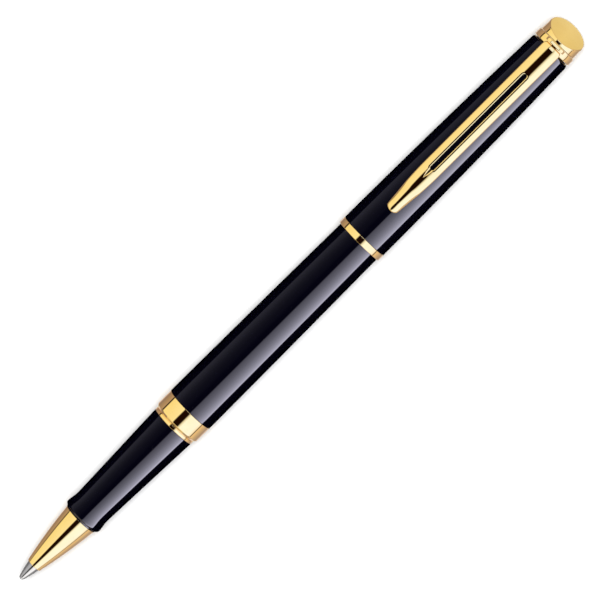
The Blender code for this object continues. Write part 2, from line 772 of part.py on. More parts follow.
def clip_slot(parent):
    """The slot's round-ended outline, cut right through the arm."""
    start = CLIP_TIP + SLOT_START - parent["station"]
    length = CLIP_LENGTH - SLOT_START - SLOT_END_LAND
    half = SLOT_WIDTH / 2
    front = arc((start + half, 0), half, 90, 270, 6)
    back = arc((start + length - half, 0), half, -90, 90, 6)
    curve = bpy.data.curves.new("clip_slot", "CURVE")
    curve.dimensions = "2D"
    curve.fill_mode = "BOTH"
    curve.extrude = 5 * MM
    spline = curve.splines.new("POLY")
    spline.points.add(len(front) + len(back) - 1)
    for point, (along, across) in zip(spline.points, front + back):
        point.co = (along, across, 0, 1)
    spline.use_cyclic_u = True
    outline = add_object("clip_slot_curve", curve, parent, None)
    cutter = add_object("clip_slot", meshed(outline, "clip_slot"), parent, None)
    cutter.location = (-clip_top(CLIP_ROOT), 0, 0)
    cutter.rotation_euler = (0, radians(-90), 0)
    return cutter


def make_clip_collar(parent):
    """A swelled ring under the finial, with the raised block that the clip springs from."""
    end = COLLAR_START + COLLAR_LENGTH
    middle = COLLAR_START + 0.42 * COLLAR_LENGTH
    outer = [
        (COLLAR_START, FINIAL_R - 0.05 * MM),
        (COLLAR_START + 0.15 * COLLAR_LENGTH, FINIAL_R + 0.6 * COLLAR_SWELL),
        (middle, COLLAR_R),
        (COLLAR_START + 0.8 * COLLAR_LENGTH, FINIAL_R + 0.6 * COLLAR_SWELL),
        (end, FINIAL_R),
    ]
    collar = turned("clip_collar", parent, GOLD_PLATE, outer,
                    [(COLLAR_START, STUD_BORE_R), (end, STUD_BORE_R)])
    datum = parent["station"]
    top = clip_top(CLIP_ROOT) - 0.05 * MM
    raised = block("clip_block", parent, (-top, -BLOCK_WIDTH / 2, end - BLOCK_LENGTH - datum),
                   (-FINIAL_R / 2, BLOCK_WIDTH / 2, end - datum))
    combine(collar, raised, "UNION")


def make_finial(parent):
    """A short tapered button whose end is cut flat on a slant that faces the clip."""
    back_r = FINIAL_R - FINIAL_TAPER
    bore_end = FINIAL_START + STUD_GRIP + BUTT
    outer = [(FINIAL_START, FINIAL_R), (PEN_LENGTH, back_r), (PEN_LENGTH + BLANK_SPARE, back_r)]
    outer += [(PEN_LENGTH + BLANK_SPARE, 0)]
    hollow = [(bore_end, 0), (bore_end, STUD_BORE_R), (FINIAL_START, STUD_BORE_R)]
    finial = turned("finial", parent, GOLD_PLATE, [*hollow, *outer])
    slab = block("finial_slant", parent, (-4 * FINIAL_R, -2 * FINIAL_R, 0),
                 (FINIAL_R, 2 * FINIAL_R, 3 * FINIAL_R))
    slab.location = (back_r, 0, PEN_LENGTH - parent["station"])
    slab.rotation_euler = (0, -FINIAL_SLANT, 0)
    combine(finial, slab, "DIFFERENCE")


# Assembly

def frame_at(name, parent, station):
    """An empty at a station on the axis, which remembers that station."""
    local = station - parent["station"] if parent else 0
    empty = axis_empty(name, parent, local)
    empty["station"] = station
    return empty


def make_pen():
    pen = frame_at("pen_axis", None, 0.0)

    section = frame_at("section_axis", pen, NOSE_START)
    make_nose_cone(section)
    make_grip_section(section)
    make_section_band(section)
    make_thread_sleeve(section)

    refill = frame_at("refill_axis", pen, 0.0)
    make_refill_tip(refill)
    make_tip_holder(refill)
    make_ink_feed_rod(refill)
    make_refill_tube(refill)
    make_ink_reservoir(refill)
    make_refill_end_plug(refill)
    make_ball(frame_at("ball_centre", refill, BALL_R))

    barrel = frame_at("barrel_axis", pen, BARREL_START)
    make_refill_spring(barrel)
    make_spring_seat(barrel)
    make_barrel(barrel)
    make_barrel_thread_insert(barrel)
    make_barrel_end_plug(barrel)

    cap = frame_at("cap_axis", pen, CAP_START)
    make_cap_clutch(cap)
    make_cap_band(cap)
    make_cap_tube(cap)
    make_inner_cap(cap)
    make_cap_end_insert(cap)
    make_finial_stud(cap)
    make_clip_collar(cap)
    make_finial(cap)
    make_clip(cap)


for old in list(bpy.data.objects):
    bpy.data.objects.remove(old)

PEN = collection("rollerball_pen")
CUTTERS = collection("cutters")

GOLD_PLATE = material("gold_plate", (0.83, 0.60, 0.24), 0.12, 1.0)
BLACK_LACQUER = material("black_lacquer", (0.006, 0.006, 0.010), 0.08, 0.0)
NICKEL_SILVER = material("nickel_silver", (0.62, 0.60, 0.56), 0.22, 1.0)
CARBIDE = material("carbide", (0.45, 0.45, 0.47), 0.15, 1.0)
BRASS = material("brass", (0.72, 0.53, 0.24), 0.30, 1.0)
SPRING_STEEL = material("spring_steel", (0.55, 0.55, 0.56), 0.25, 1.0)
NATURAL_PLASTIC = material("natural_plastic", (0.78, 0.77, 0.72), 0.40, 0.0)
GREY_PLASTIC = material("grey_plastic", (0.20, 0.20, 0.21), 0.45, 0.0)
BLUE_PLASTIC = material("blue_plastic", (0.03, 0.06, 0.30), 0.40, 0.0)
INK_FIBRE = material("ink_fibre", (0.02, 0.03, 0.16), 0.90, 0.0)

make_pen()
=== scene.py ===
"""The looks of a slim black and gold rollerball pen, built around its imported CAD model.

Every turned piece is a fine closed profile swept about the pen's axis. A profile is a list of
(x, radius) points in the frame's metres, and its ends come from the CAD node that it replaces.
"""

import functools
import math

import bmesh
import bpy
from mathutils import Matrix, Vector


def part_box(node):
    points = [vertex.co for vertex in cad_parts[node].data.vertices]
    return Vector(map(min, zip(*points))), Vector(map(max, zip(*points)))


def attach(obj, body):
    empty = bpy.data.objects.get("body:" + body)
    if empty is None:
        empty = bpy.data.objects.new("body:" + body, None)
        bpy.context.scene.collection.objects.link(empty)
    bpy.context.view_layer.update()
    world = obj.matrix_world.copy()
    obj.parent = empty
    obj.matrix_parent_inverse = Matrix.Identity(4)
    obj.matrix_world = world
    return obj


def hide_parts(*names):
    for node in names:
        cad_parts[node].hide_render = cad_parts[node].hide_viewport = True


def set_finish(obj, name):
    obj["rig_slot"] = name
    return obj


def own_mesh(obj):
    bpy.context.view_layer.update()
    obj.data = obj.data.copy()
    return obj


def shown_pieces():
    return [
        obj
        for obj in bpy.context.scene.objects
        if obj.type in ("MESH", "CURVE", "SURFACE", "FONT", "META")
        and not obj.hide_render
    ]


MM = 0.001
AROUND = 144
SHARP_ANGLE = math.radians(35)

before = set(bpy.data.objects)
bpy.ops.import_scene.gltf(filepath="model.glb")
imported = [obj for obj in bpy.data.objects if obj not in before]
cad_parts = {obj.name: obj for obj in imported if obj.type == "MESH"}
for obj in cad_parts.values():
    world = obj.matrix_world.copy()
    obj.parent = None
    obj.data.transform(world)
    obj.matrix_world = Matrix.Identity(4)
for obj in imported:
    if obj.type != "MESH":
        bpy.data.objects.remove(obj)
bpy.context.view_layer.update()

box = functools.cache(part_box)
barrel_low, barrel_high = box("barrel")
AXIS_Z = (barrel_low.z + barrel_high.z) / 2
TIP_X = box("ball")[0].x


# The frame's places and sizes

def start_of(node):
    return box(node)[0].x


def end_of(node):
    return box(node)[1].x


def radius_of(node):
    """Half of a turned node's height."""
    low, high = box(node)
    return (high.z - low.z) / 2


def wide_radius_of(node):
    """Half of a node's width across the pen, for a node with something raised on top."""
    low, high = box(node)
    return (high.y - low.y) / 2


# Profiles

def bowed(start, end, bulge, steps):
    """Points from start to end, both (x, radius), bowed outwards by bulge at the middle."""
    points = []
    for step in range(steps + 1):
        share = step / steps
        x = start[0] + share * (end[0] - start[0])
        radius = start[1] + share * (end[1] - start[1]) + 4 * bulge * share * (1 - share)
        points.append((x, radius))
    return points


def eased(start, end, steps):
    """Points from start to end that leave and arrive parallel to the axis."""
    points = []
    for step in range(steps + 1):
        share = step / steps
        blend = share * share * (3 - 2 * share)
        x = start[0] + share * (end[0] - start[0])
        points.append((x, start[1] + blend * (end[1] - start[1])))
    return points


def arc(centre, radius, first, last, steps):
    """Points on an arc in the profile's plane. Angles, in degrees, go from +x towards +radius."""
    points = []
    for step in range(steps + 1):
        angle = math.radians(first + (last - first) * step / steps)
        points.append((centre[0] + radius * math.cos(angle), centre[1] + radius * math.sin(angle)))
    return points


def filleted(points, radius, steps=4):
    """A closed outline with its corners rounded; gentle bends and points on the axis stay."""
    made = []
    count = len(points)
    for index, point in enumerate(points):
        here = Vector(point)
        back = Vector(points[index - 1]) - here
        ahead = Vector(points[(index + 1) % count]) - here
        turn = math.pi - back.angle(ahead) if back.length and ahead.length else 0
        if turn < math.radians(14) or point[1] < 1e-7:
            made.append(point)
            continue
        setback = min(radius * math.tan(turn / 2), 0.45 * back.length, 0.45 * ahead.length)
        first = here + back.normalized() * setback
        last = here + ahead.normalized() * setback
        for step in range(steps + 1):
            share = step / steps
            place = (1 - share) ** 2 * first + 2 * share * (1 - share) * here + share ** 2 * last
            made.append((place.x, place.y))
    return made


# Meshes

def finished(name, mesh, body, slot, finish, replaced):
    """Puts a mesh in the scene as a piece that rides on a body and stands for CAD nodes."""
    mesh.materials.append(finish)
    piece = bpy.data.objects.new(name, mesh)
    bpy.context.scene.collection.objects.link(piece)
    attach(piece, body)
    if replaced:
        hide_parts(*replaced)
    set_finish(piece, slot)
    return piece


def mesh_from(bm, name):
    bmesh.ops.recalc_face_normals(bm, faces=bm.faces)
    mesh = bpy.data.meshes.new(name)
    bm.to_mesh(mesh)
    bm.free()
    mesh.shade_smooth()
    mesh.set_sharp_from_angle(angle=SHARP_ANGLE)
    return mesh


def sweep_round(bm, outline, around):
    """Sweeps a closed outline about the pen's axis; points on the axis become poles."""
    rings = []
    for x, radius in outline:
        if radius < 1e-7:
            rings.append([bm.verts.new((x, 0, AXIS_Z))])
            continue
        ring = []
        for step in range(around):
            angle = 2 * math.pi * step / around
            across, up = radius * math.sin(angle), -radius * math.cos(angle)
            ring.append(bm.verts.new((x, across, AXIS_Z + up)))
        rings.append(ring)
    for index, ring in enumerate(rings):
        other = rings[(index + 1) % len(rings)]
        join_rings(bm, ring, other)


def join_rings(bm, ring, other):
    if len(ring) == 1 and len(other) == 1:
        return
    for step in range(max(len(ring), len(other))):
        corners = [ring[step % len(ring)]]
        if len(ring) > 1:
            corners.append(ring[(step + 1) % len(ring)])
        if len(other) > 1:
            corners.append(other[(step + 1) % len(other)])
        corners.append(other[step % len(other)])
        bm.faces.new(corners)


def turned(name, body, look, outline, round_edge=0.04 * MM, around=AROUND):
    """A turned piece in place of the CAD node of the same name."""
    slot, finish = look
    bm = bmesh.new()
    sweep_round(bm, filleted(outline, round_edge), around)
    mesh = mesh_from(bm, name + "_fine")
    return finished(name + "_fine", mesh, body, slot, finish, [name])


# Materials

def new_material(name, colour, roughness, metallic):
    """A Principled material and its shader, with the object's own coordinates ready to use."""
    made = bpy.data.materials.new(name)
    made.use_nodes = True
    tree = made.node_tree
    shader = tree.nodes["Principled BSDF"]
    shader.inputs["Base Color"].default_value = (*colour, 1)
    shader.inputs["Roughness"].default_value = roughness
    shader.inputs["Metallic"].default_value = metallic
    place = tree.nodes.new("ShaderNodeTexCoord")
    return made, tree, shader, place.outputs["Object"]


def noise(tree, coordinates, scale, detail=3.0, stretch=None):
    """A noise texture's factor; stretch scales the coordinates first."""
    if stretch:
        mapping = tree.nodes.new("ShaderNodeMapping")
        mapping.inputs["Scale"].default_value = stretch
        tree.links.new(coordinates, mapping.inputs["Vector"])
        coordinates = mapping.outputs["Vector"]
    texture = tree.nodes.new("ShaderNodeTexNoise")
    texture.inputs["Scale"].default_value = scale
    texture.inputs["Detail"].default_value = detail
    tree.links.new(coordinates, texture.inputs["Vector"])
    return texture.outputs["Fac"]


def vary_colour(tree, shader, factor, dark, light):
    ramp = tree.nodes.new("ShaderNodeValToRGB")
    ramp.color_ramp.elements[0].position = 0.3
    ramp.color_ramp.elements[0].color = (*dark, 1)
    ramp.color_ramp.elements[1].position = 0.7
    ramp.color_ramp.elements[1].color = (*light, 1)
    tree.links.new(factor, ramp.inputs["Fac"])
    tree.links.new(ramp.outputs["Color"], shader.inputs["Base Color"])


def vary_roughness(tree, shader, factor, low, high):
    spread = tree.nodes.new("ShaderNodeMapRange")
    spread.inputs["To Min"].default_value = low
    spread.inputs["To Max"].default_value = high
    tree.links.new(factor, spread.inputs["Value"])
    tree.links.new(spread.outputs["Result"], shader.inputs["Roughness"])


def bump(tree, shader, height, strength, distance):
    node = tree.nodes.new("ShaderNodeBump")
    node.inputs["Strength"].default_value = strength
    node.inputs["Distance"].default_value = distance
    tree.links.new(height, node.inputs["Height"])
    tree.links.new(node.outputs["Normal"], shader.inputs["Normal"])


def black_lacquer():
    """Deep gloss lacquer under a clear coat, with a trace of orange peel."""
    made, tree, shader, place = new_material("black_lacquer_look", (0.0015, 0.0015, 0.003), 0.06, 0)
    shader.inputs["IOR"].default_value = 1.5
    shader.inputs["Coat Weight"].default_value = 1.0
    shader.inputs["Coat Roughness"].default_value = 0.02
    shader.inputs["Coat IOR"].default_value = 1.5
    dark, light = (0.0010, 0.0009, 0.0038), (0.0013, 0.0011, 0.0044)
    vary_colour(tree, shader, noise(tree, place, 900), dark, light)
    vary_roughness(tree, shader, noise(tree, place, 260), 0.03, 0.07)
    bump(tree, shader, noise(tree, place, 1400, 2.0), 0.006, 0.01 * MM)
    return made


def gold_plate():
    """Polished gold plate with faint polishing lines round the pen."""
    made, tree, shader, place = new_material("gold_plate_look", (0.95, 0.61, 0.20), 0.09, 1)
    vary_colour(tree, shader, noise(tree, place, 350), (0.94, 0.60, 0.19), (0.96, 0.63, 0.21))
    vary_roughness(tree, shader, noise(tree, place, 500), 0.02, 0.06)
    bump(tree, shader, noise(tree, place, 900, 4.0, (14, 1, 1)), 0.03, 0.004 * MM)
    return made


def nickel_silver():
    """Bare turned metal with fine tool lines."""
    made, tree, shader, place = new_material("nickel_silver_look", (0.80, 0.78, 0.74), 0.16, 1)
    vary_colour(tree, shader, noise(tree, place, 700), (0.74, 0.72, 0.68), (0.84, 0.82, 0.79))
    vary_roughness(tree, shader, noise(tree, place, 900), 0.12, 0.22)
    bump(tree, shader, noise(tree, place, 1500, 3.0, (20, 1, 1)), 0.10, 0.005 * MM)
    return made


def machined(slot, dark, light):
    """A slot and its look: turned metal that is mostly out of sight."""
    made, tree, shader, place = new_material(slot + "_look", light, 0.3, 1)
    vary_colour(tree, shader, noise(tree, place, 600), dark, light)
    vary_roughness(tree, shader, noise(tree, place, 800), 0.20, 0.36)
    bump(tree, shader, noise(tree, place, 1200, 3.0, (16, 1, 1)), 0.12, 0.006 * MM)
    return slot, made


def moulded(slot, dark, light, rough_low, rough_high):
    """A slot and its look: moulded plastic or fibre with a fine grain."""
    made, tree, shader, place = new_material(slot + "_look", light, rough_high, 0)
    vary_colour(tree, shader, noise(tree, place, 500), dark, light)
    vary_roughness(tree, shader, noise(tree, place, 900), rough_low, rough_high)
    bump(tree, shader, noise(tree, place, 2200, 4.0), 0.15, 0.01 * MM)
    return slot, made


LACQUER = ("black_lacquer", black_lacquer())
GOLD = ("gold_plate", gold_plate())
SILVER = ("nickel_silver", nickel_silver())
CARBIDE = machined("carbide", (0.40, 0.40, 0.42), (0.50, 0.50, 0.52))
BRASS = machined("brass", (0.66, 0.46, 0.20), (0.76, 0.56, 0.27))
STEEL = machined("spring_steel", (0.48, 0.48, 0.50), (0.60, 0.60, 0.61))
NATURAL = moulded("natural_plastic", (0.72, 0.71, 0.65), (0.80, 0.79, 0.75), 0.3, 0.45)
GREY = moulded("grey_plastic", (0.10, 0.10, 0.11), (0.15, 0.15, 0.16), 0.35, 0.5)
BLUE = moulded("blue_plastic", (0.02, 0.05, 0.26), (0.04, 0.08, 0.34), 0.3, 0.45)
FIBRE = moulded("ink_fibre", (0.01, 0.02, 0.12), (0.03, 0.04, 0.20), 0.8, 0.95)


# Writing end

def make_ball():
    """The writing ball."""
    low, high = box("ball")
    radius = (high.x - low.x) / 2
    outline = arc((low.x + radius, 0), radius, 180, 0, 24)
    outline[0], outline[-1] = (low.x, 0), (high.x, 0)
    turned("ball", "ball", CARBIDE, outline, around=48)


def make_refill_tip():
    """The bare cone: a burnished lip round the ball, a short step, and the long taper."""
    start, end = start_of("refill_tip"), end_of("refill_tip")
    cone_r = radius_of("refill_tip")
    cone_end = start_of("nose_cone")
    shank_end = cone_end + 3.1 * MM
    stem_r = 0.95 * MM
    outer = [
        (start, 0.36 * MM),
        *arc((start + 0.12 * MM, 0.36 * MM), 0.10 * MM, 170, 110, 5),
        (TIP_X + 0.44 * MM, 0.52 * MM),
        (TIP_X + 0.52 * MM, 0.60 * MM),
        *bowed((TIP_X + 0.60 * MM, 0.62 * MM), (cone_end, cone_r), 0.03 * MM, 16),
        (shank_end, cone_r),
        (shank_end, stem_r),
        (end, stem_r),
    ]
    inner = [
        (end, 0.5 * MM),
        (TIP_X + 2.1 * MM, 0.5 * MM),
        (TIP_X + 2.0 * MM, 0.15 * MM),
        (TIP_X + 0.8 * MM, 0.15 * MM),
        (TIP_X + 0.6 * MM, 0.33 * MM),
        (TIP_X + 0.35 * MM, 0.38 * MM),
        (start, 0.33 * MM),
    ]
    turned("refill_tip", "refill", SILVER, outer + inner, 0.03 * MM)


def make_nose_cone():
    """An ogive with a crisp front rim and a spigot that enters the grip."""
    start, end = start_of("nose_cone"), end_of("nose_cone")
    back = start_of("grip_section") - 0.05 * MM
    back_r = radius_of("nose_cone")
    bore_r = radius_of("refill_tip") + 0.08 * MM
    spigot_r = back_r - 0.19 * MM
    rim_r = bore_r + 0.16 * MM
    outer = [
        (start, bore_r),
        (start, rim_r - 0.07 * MM),
        *bowed((start + 0.07 * MM, rim_r), (back, back_r), 0.185 * MM, 48),
        (back, spigot_r),
        (end, spigot_r),
        (end, spigot_r - 0.5 * MM),
        (back, spigot_r - 0.5 * MM),
        (start + 2.6 * MM, bore_r),
    ]
    turned("nose_cone", "section", GOLD, outer, 0.05 * MM)


def make_grip_section():
    """Black lacquer: a rounded, flared front lip, a neck, and a straight taper to the band."""
    start, end = start_of("grip_section"), end_of("grip_section")
    nose_r = radius_of("nose_cone")
    bore_r = 3.2 * MM
    neck_r = bore_r + 0.72 * MM
    flare_r = neck_r + 0.26 * MM
    back_r = radius_of("grip_section")
    lip = arc((start + 0.85 * MM, flare_r - 0.62 * MM), 0.62 * MM, 168, 90, 12)
    neck = eased((start + 0.85 * MM, flare_r), (start + 3.1 * MM, neck_r), 14)
    outer = [
        (start, nose_r + 0.06 * MM),
        *lip,
        *neck[1:],
        *bowed((start + 3.9 * MM, neck_r + 0.015 * MM), (end, back_r), -0.005 * MM, 24),
        (end, 3.9 * MM),
        (end - 11.5 * MM, 3.9 * MM),
        (end - 11.5 * MM, bore_r),
        (end_of("nose_cone") + 0.05 * MM, bore_r),
        (end_of("nose_cone") + 0.05 * MM, 3.45 * MM),
        (start, 3.45 * MM),
    ]
    turned("grip_section", "section", LACQUER, outer, 0.05 * MM)


def make_section_band():
    """A narrow lip, a fine groove, a shoulder, and the wide land that meets the barrel."""
    start, end = start_of("section_band"), end_of("section_band")
    lip_r = radius_of("grip_section") + 0.02 * MM
    land_r = radius_of("section_band")
    bore_r = 3.9 * MM
    groove = start + 0.60 * MM
    shoulder = start + 0.71 * MM
    land = start + 1.17 * MM
    outer = [
        (start, bore_r),
        (start, lip_r - 0.03 * MM),
        (start + 0.05 * MM, lip_r + 0.01 * MM),
        (groove - 0.06 * MM, lip_r + 0.01 * MM),
        (groove, lip_r - 0.11 * MM),
        (shoulder, lip_r - 0.11 * MM),
        (shoulder + 0.04 * MM, lip_r + 0.06 * MM),
        (land - 0.06 * MM, land_r - 0.03 * MM),
        (land + 0.06 * MM, land_r),
        (end - 0.05 * MM, land_r),
        (end, land_r - 0.05 * MM),
        (end, bore_r),
    ]
    turned("section_band", "section", GOLD, outer, 0.04 * MM)


# Barrel

def barrel_radius(x):
    """Outside of the barrel: slightly bowed up to the posted cap, then a straighter tail."""
    start, mouth, end = start_of("barrel"), start_of("cap_band"), end_of("barrel")
    front_r, mouth_r, tail_r = radius_of("barrel"), radius_of("barrel") - 0.37 * MM, tail_radius()
    if x <= mouth:
        share = (x - start) / (mouth - start)
        return front_r - share * (front_r - mouth_r) + 4 * 0.035 * MM * share * (1 - share)
    return mouth_r + (x - mouth) / (end - mouth) * (tail_r - mouth_r)


def tail_radius():
    """Outside of the barrel where its tail plug begins."""
    return radius_of("barrel_end_plug")


def make_barrel():
    """A long lacquered shell with a seat for the threaded insert in its mouth."""
    start, end = start_of("barrel"), end_of("barrel")
    wall = 0.67 * MM
    insert_end = end_of("barrel_thread_insert") + 0.05 * MM
    seat_r = radius_of("barrel_thread_insert") + 0.05 * MM
    steps = 60
    places = [start + (end - start) * step / steps for step in range(steps + 1)]
    outer = [(x, barrel_radius(x)) for x in places]
    outer[0] = (start, barrel_radius(start) - 0.01 * MM)
    bore = [
        (end, tail_radius() - wall),
        (start_of("cap_band"), barrel_radius(start_of("cap_band")) - wall),
        (insert_end, barrel_radius(insert_end) - wall - 0.1 * MM),
        (insert_end, seat_r),
        (start, seat_r),
    ]
    turned("barrel", "barrel", LACQUER, outer + bore, 0.04 * MM)


def make_barrel_end_plug():
    """The rounded tail, seen once the cap is pulled off."""
    start, end = start_of("barrel_end_plug"), end_of("barrel_end_plug")
    radius = tail_radius()
    head = end_of("barrel") + 0.05 * MM
    rounding = arc((end - 1.2 * MM, radius - 1.2 * MM), 1.2 * MM, 90, 0, 16)
    spigot_r = radius - 0.72 * MM
    outline = [(start, 0), (start, spigot_r), (head, spigot_r), (head, radius), *rounding, (end, 0)]
    turned("barrel_end_plug", "barrel", LACQUER, outline, 0.04 * MM)


THREAD_PITCH = 1.2 * MM
THREAD_TURNS = 3
THREAD_WIRE_R = 0.24 * MM
THREAD_LEAD = 1.6 * MM     # from the barrel's mouth to the middle of the first turn
HELIX_FADE = 12            # steps over which a helix runs out at each end


def threaded(name, body, outline, helix_r, first_x):
    """A turned sleeve with a rounded helical thread on it, as one piece."""
    slot, finish = BRASS
    bm = bmesh.new()
    sweep_round(bm, filleted(outline, 0.05 * MM), 96)
    sweep_helix(bm, helix_r, first_x, THREAD_PITCH, THREAD_TURNS, THREAD_WIRE_R)
    mesh = mesh_from(bm, name + "_fine")
    return finished(name + "_fine", mesh, body, slot, finish, [name])


def sweep_helix(bm, helix_r, first_x, pitch, turns, wire_r, sides=10, per_turn=72):
    """A round helical ridge that fades into its sleeve at both ends."""
    rings = []
    count = int(turns * per_turn)
    for index in range(count + 1):
        angle = 2 * math.pi * index / per_turn
        fade = min(1, index / HELIX_FADE, (count - index) / HELIX_FADE)
        thick = max(wire_r * fade, 0.02 * wire_r)
        ring = []
        for side in range(sides):
            turn = 2 * math.pi * side / sides
            radius = helix_r + thick * math.cos(turn)
            x = first_x + pitch * index / per_turn + thick * math.sin(turn)
            across, up = radius * math.sin(angle), -radius * math.cos(angle)
            ring.append(bm.verts.new((x, across, AXIS_Z + up)))
        rings.append(ring)
    close_loft(bm, rings)


def make_thread_sleeve():
    """The section's threaded sleeve, which the barrel screws onto."""
    start, end = start_of("thread_sleeve"), end_of("thread_sleeve")
    step = end_of("section_band") - 0.05 * MM
    root_r, body_r, bore_r = 3.7 * MM, 3.85 * MM, 3.2 * MM
    outline = [(start, bore_r), (start, body_r), (step, body_r)]
    outline += [(step, root_r), (end, root_r), (end, bore_r)]
    threaded("thread_sleeve", "section", outline, root_r, start_of("barrel") + THREAD_LEAD)


def make_thread_insert():
    """The brass insert in the barrel's mouth, its thread half a pitch from the sleeve's."""
    start, end = start_of("barrel_thread_insert"), end_of("barrel_thread_insert")
    outer_r = radius_of("barrel_thread_insert")
    bore_r = 4.02 * MM
    outline = [(start, bore_r), (start, outer_r), (end, outer_r), (end, bore_r)]
    first_x = start_of("barrel") + THREAD_LEAD + THREAD_PITCH / 2
    threaded("barrel_thread_insert", "barrel", outline, bore_r, first_x)


# Cap

CAP_MOUTH_R = 5.15 * MM
CAP_END_R = 4.36 * MM
CAP_BOW = 0.148 * MM
CAP_ROUND = 0.75 * MM
CAP_WALL = 0.27 * MM


def cap_radius(x):
    """Outside of the cap tube, bowed between its mouth and the start of its end rounding."""
    start, end = start_of("cap_tube"), end_of("cap_tube") - CAP_ROUND
    share = (x - start) / (end - start)
    taper = share * (CAP_MOUTH_R - CAP_END_R)
    return CAP_MOUTH_R - taper + 4 * CAP_BOW * share * (1 - share)


def cap_bore(x):
    return cap_radius(x) - CAP_WALL


def make_cap_band():
    start, end = start_of("cap_band"), end_of("cap_band")
    radius = radius_of("cap_band")
    bore = cap_radius(start_of("cap_tube")) - CAP_WALL
    outline = [
        (start, bore + 0.05 * MM),
        (start, radius - 0.12 * MM),
        *arc((start + 0.14 * MM, radius - 0.14 * MM), 0.14 * MM, 150, 90, 5),
        *arc((end - 0.10 * MM, radius - 0.10 * MM), 0.10 * MM, 90, 30, 5),
        (end, radius - 0.14 * MM),
        (end, bore),
        (start + 0.08 * MM, bore),
    ]
    turned("cap_band", "cap", GOLD, outline, 0.03 * MM)


def make_cap_tube():
    start, end = start_of("cap_tube"), end_of("cap_tube")
    round_start = end - CAP_ROUND
    steps = 48
    places = [start + (round_start - start) * step / steps for step in range(steps + 1)]
    outer = [(x, cap_radius(x)) for x in places]
    end_r = cap_radius(round_start)
    shoulder = arc((round_start, end_r - CAP_ROUND), CAP_ROUND, 90, 24, 10)
    lip = end - 0.5 * MM
    outline = [
        (start, cap_bore(start)),
        *outer,
        *shoulder[1:],
        (end, 3.7 * MM),
        (lip, 3.7 * MM),
        (lip, end_r - CAP_WALL),
    ]
    outline += [(x, cap_bore(x)) for x in reversed(places[4:-1:6])]
    turned("cap_tube", "cap", LACQUER, outline, 0.04 * MM)


def make_cap_clutch():
    """The slotted spring ring: six fingers joined by a collar at the back."""
    start, end = start_of("cap_clutch"), end_of("cap_clutch")
    collar = start + 0.7 * (end - start)
    fingers, per_finger, gap = 6, 14, 0.09      # the gap is in radians, on each side of a slot
    bm = bmesh.new()

    def shell(x, angle):
        """The ring's inner and outer place at one point along the pen."""
        inner, outer = barrel_radius(x) + 0.08 * MM, cap_bore(x) - 0.05 * MM
        places = []
        for radius in (inner, outer):
            places.append((x, radius * math.sin(angle), AXIS_Z - radius * math.cos(angle)))
        return places

    def block(first_x, last_x, first, last, steps):
        """A part of the ring between two angles, closed when they are a full turn apart."""
        rings = []
        for step in range(steps + 1):
            angle = first + (last - first) * step / steps
            near, far = shell(first_x, angle), shell(last_x, angle)
            rings.append([bm.verts.new(place) for place in (near[0], near[1], far[1], far[0])])
        closed = abs(last - first) > 2 * math.pi - 1e-6
        if closed:
            rings.pop()
            rings.append(rings[0])
        for ring, other in zip(rings, rings[1:]):
            join_rings(bm, ring, other)
        if not closed:
            bm.faces.new(rings[0])
            bm.faces.new(rings[-1])

    block(collar, end, 0, 2 * math.pi, fingers * per_finger)
    for finger in range(fingers):
        middle = 2 * math.pi * (finger + 0.5) / fingers
        half = math.pi / fingers - gap
        block(start, collar + 0.01 * MM, middle - half, middle + half, per_finger)
    slot, finish = STEEL
    mesh = mesh_from(bm, "cap_clutch_fine")
    finished("cap_clutch_fine", mesh, "cap_clutch", slot, finish, ["cap_clutch"])


def make_inner_cap():
    """The liner, a thin cup whose mouth faces the barrel."""
    start, end = start_of("inner_cap"), end_of("inner_cap")
    floor = end - 0.8 * MM
    wall = 0.25 * MM
    steps = 16
    outer = [(start + (end - start) * step / steps) for step in range(steps + 1)]
    inner = [(floor + (start - floor) * step / steps) for step in range(steps + 1)]
    outline = [(x, cap_bore(x) - 0.05 * MM) for x in outer] + [(end, 0), (floor, 0)]
    outline += [(x, cap_bore(x) - 0.05 * MM - wall) for x in inner]
    turned("inner_cap", "cap", GREY, outline, 0.06 * MM)


def make_clip_collar():
    """The swelled ring under the finial, and the bar on it that the clip springs from."""
    start, end = start_of("clip_collar"), end_of("clip_collar")
    ring_r = wide_radius_of("clip_collar")
    edge_r = ring_r - 0.25 * MM
    bore_r = 1.35 * MM
    top = box("clip_collar")[1].z
    edge = 0.14 * MM
    front, back = (start + 2 * edge, ring_r - 0.02 * MM), (end - 2 * edge, ring_r - 0.04 * MM)
    outline = [
        (start, bore_r),
        (start, edge_r),
        *arc((start + edge, ring_r - 0.04 * MM - edge), edge, 160, 90, 6),
        *bowed(front, back, 0.02 * MM, 6),
        *arc((end - edge, ring_r - 0.06 * MM - edge), edge, 90, 10, 6),
        (end, edge_r),
        (end, bore_r),
    ]
    slot, finish = GOLD
    bm = bmesh.new()
    sweep_round(bm, filleted(outline, 0.03 * MM), AROUND)
    mesh = mesh_from(bm, "clip_collar_fine")
    finished("clip_collar_fine", mesh, "cap", slot, finish, ["clip_collar"])
    make_clip_bridge(end, ring_r, top)


